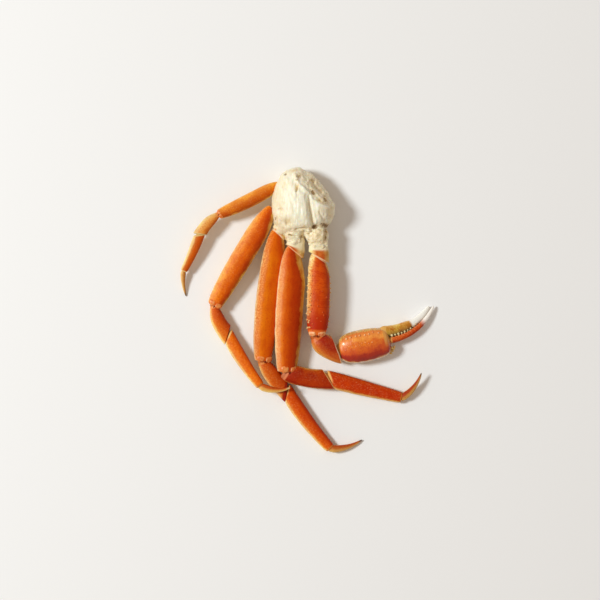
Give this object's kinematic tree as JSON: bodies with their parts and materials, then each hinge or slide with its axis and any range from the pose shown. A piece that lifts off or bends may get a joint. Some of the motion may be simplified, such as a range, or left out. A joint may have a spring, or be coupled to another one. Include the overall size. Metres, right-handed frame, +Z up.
{
  "type": "snow crab cluster",
  "caption": "Cooked snow crab cluster lying flat: a pale meaty shoulder with orange walking legs and a claw arm, their shells jointed end to end",
  "frame": {"origin": "On the surface it lies on, under the middle of its box", "axes": "+Z up off the surface; +Y from the leg tips towards the shoulder, along the long meri; +X towards the claw"},
  "size_m": [0.2124, 0.2387, 0.0338],
  "materials": {
    "shoulder": "moist crab meat",
    "leg_1_ischium": "cooked crab shell with a satin sheen",
    "leg_1_merus": "cooked crab shell with a satin sheen",
    "leg_1_carpus": "cooked crab shell with a satin sheen",
    "leg_1_propodus": "cooked crab shell with a satin sheen",
    "leg_1_dactylus": "cooked crab shell with a satin sheen",
    "leg_2_ischium": "cooked crab shell with a satin sheen",
    "leg_2_merus": "cooked crab shell with a satin sheen",
    "leg_2_carpus": "cooked crab shell with a satin sheen",
    "leg_2_propodus": "cooked crab shell with a satin sheen",
    "leg_2_dactylus": "cooked crab shell with a satin sheen",
    "leg_3_merus": "cooked crab shell with a satin sheen",
    "leg_3_carpus": "cooked crab shell with a satin sheen",
    "leg_3_propodus": "cooked crab shell with a satin sheen",
    "leg_3_dactylus": "cooked crab shell with a satin sheen",
    "leg_4_merus": "cooked crab shell with a satin sheen",
    "leg_4_carpus": "cooked crab shell with a satin sheen",
    "leg_4_propodus": "cooked crab shell with a satin sheen",
    "leg_4_dactylus": "cooked crab shell with a satin sheen",
    "claw_ischium": "cooked crab shell with a satin sheen",
    "claw_merus": "cooked crab shell with a satin sheen",
    "claw_carpus": "cooked crab shell with a satin sheen",
    "claw_palm": "cooked crab shell with a satin sheen",
    "claw_dactylus": "cooked crab shell with a satin sheen"
  },
  "bodies": {
    "root": {"shoulder": "shoulder", "leg_1_ischium": "leg_1_ischium", "leg_1_merus": "leg_1_merus", "leg_1_carpus": "leg_1_carpus", "leg_1_propodus": "leg_1_propodus", "leg_1_dactylus": "leg_1_dactylus", "leg_2_ischium": "leg_2_ischium", "leg_2_merus": "leg_2_merus", "leg_2_carpus": "leg_2_carpus", "leg_2_propodus": "leg_2_propodus", "leg_2_dactylus": "leg_2_dactylus", "leg_3_merus": "leg_3_merus", "leg_3_carpus": "leg_3_carpus", "leg_3_propodus": "leg_3_propodus", "leg_3_dactylus": "leg_3_dactylus", "leg_4_merus": "leg_4_merus", "leg_4_carpus": "leg_4_carpus", "leg_4_propodus": "leg_4_propodus", "leg_4_dactylus": "leg_4_dactylus", "claw_ischium": "claw_ischium", "claw_merus": "claw_merus", "claw_carpus": "claw_carpus", "claw_palm": "claw_palm", "claw_dactylus": "claw_dactylus"}
  },
  "joints": []
}
